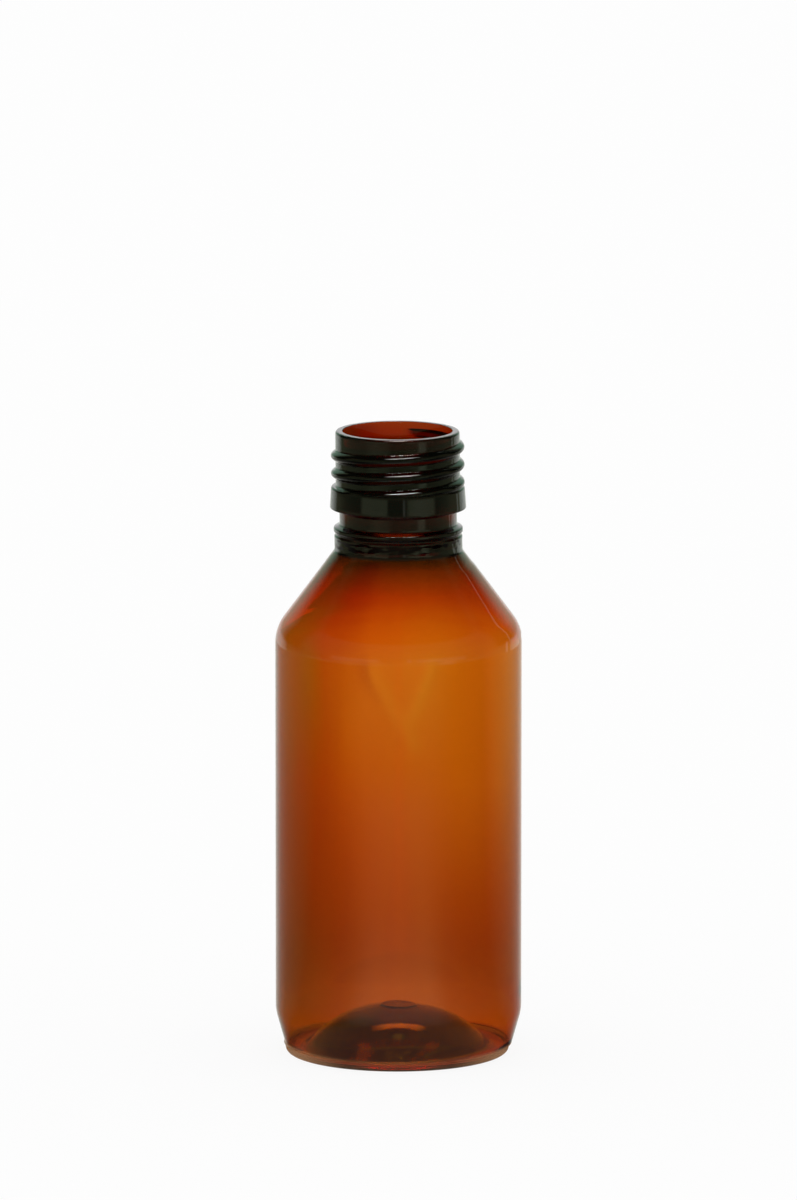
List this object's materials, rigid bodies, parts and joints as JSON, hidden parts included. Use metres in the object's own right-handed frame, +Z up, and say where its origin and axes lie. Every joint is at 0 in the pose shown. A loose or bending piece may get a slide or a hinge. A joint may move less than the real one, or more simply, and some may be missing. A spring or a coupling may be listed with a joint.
{
  "type": "pet bottle",
  "caption": "Amber blow-moulded syrup bottle with a straight round body, conical shoulder and a screw neck with a locking bead and support ring.",
  "frame": {"origin": "centre of the standing ring, on the plane that the bottle stands on", "axes": "+Z up along the bottle's axis and out of its mouth, -Y towards the viewer, with the top end of the thread at the back"},
  "size_m": [0.0456, 0.0456, 0.1167],
  "materials": {
    "amber_pet": "clear amber, smooth and glossy as blown"
  },
  "bodies": {
    "root": {"bottle": "amber_pet"}
  },
  "joints": []
}
